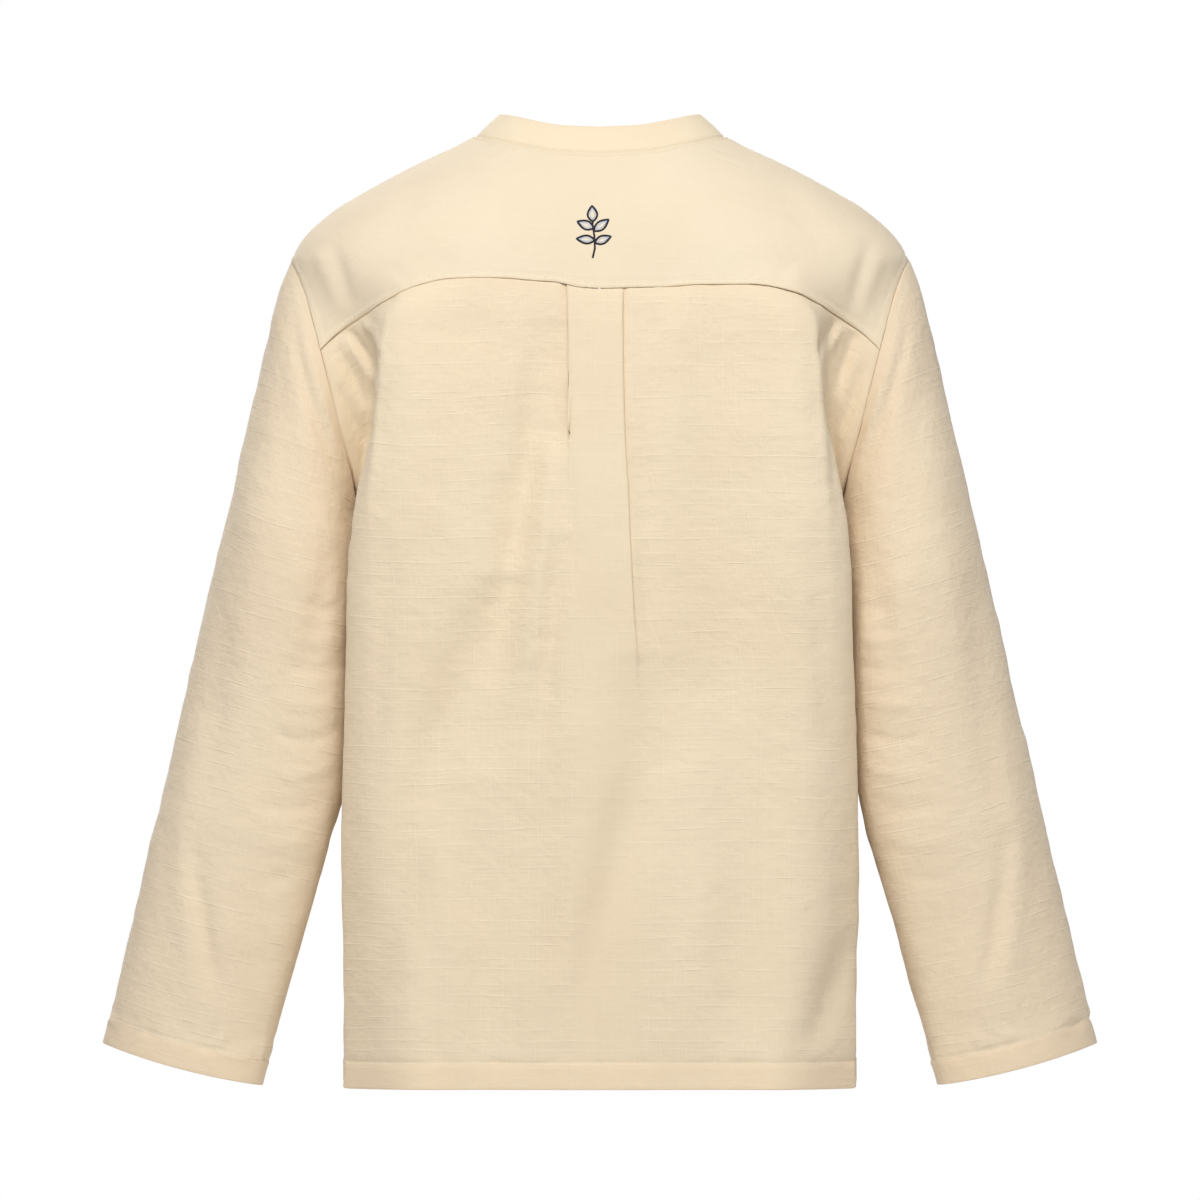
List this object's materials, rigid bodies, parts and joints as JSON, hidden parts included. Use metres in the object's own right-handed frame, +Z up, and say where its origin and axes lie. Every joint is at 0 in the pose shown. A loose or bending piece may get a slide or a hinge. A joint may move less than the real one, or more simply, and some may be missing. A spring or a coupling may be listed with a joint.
{
  "type": "tunic",
  "caption": "Loose crinkled-cotton tunic, filled out, with a band collar, yoke, box-pleated back, neck slit and long straight sleeves.",
  "frame": {"origin": "between the shoulders, level with the points where the collar seam meets the shoulder lines, where the wearer's shoulders hold the garment up", "axes": "+Z up towards the head, -Y out of the front, +Y out of the back, +X towards the wearer's left sleeve"},
  "size_m": [0.7468, 0.249, 0.7321],
  "materials": {
    "body_cloth": "matt cream cotton double gauze with a crinkled weave",
    "yoke_cloth": "matt cream cotton double gauze, pressed smoother",
    "collar_cloth": "matt cream cotton double gauze, two layers stitched flat",
    "sleeve_cloth": "matt cream cotton double gauze with a crinkled weave",
    "thread": "cream sewing thread",
    "motif_dark": "dark navy embroidery thread",
    "motif_pale": "pale blue embroidery thread"
  },
  "bodies": {
    "root": {"collar_band": "collar_cloth", "yoke": "yoke_cloth", "back_panel": "body_cloth", "front_panel": "body_cloth", "sleeve_left": "sleeve_cloth", "sleeve_right": "sleeve_cloth"}
  },
  "joints": []
}
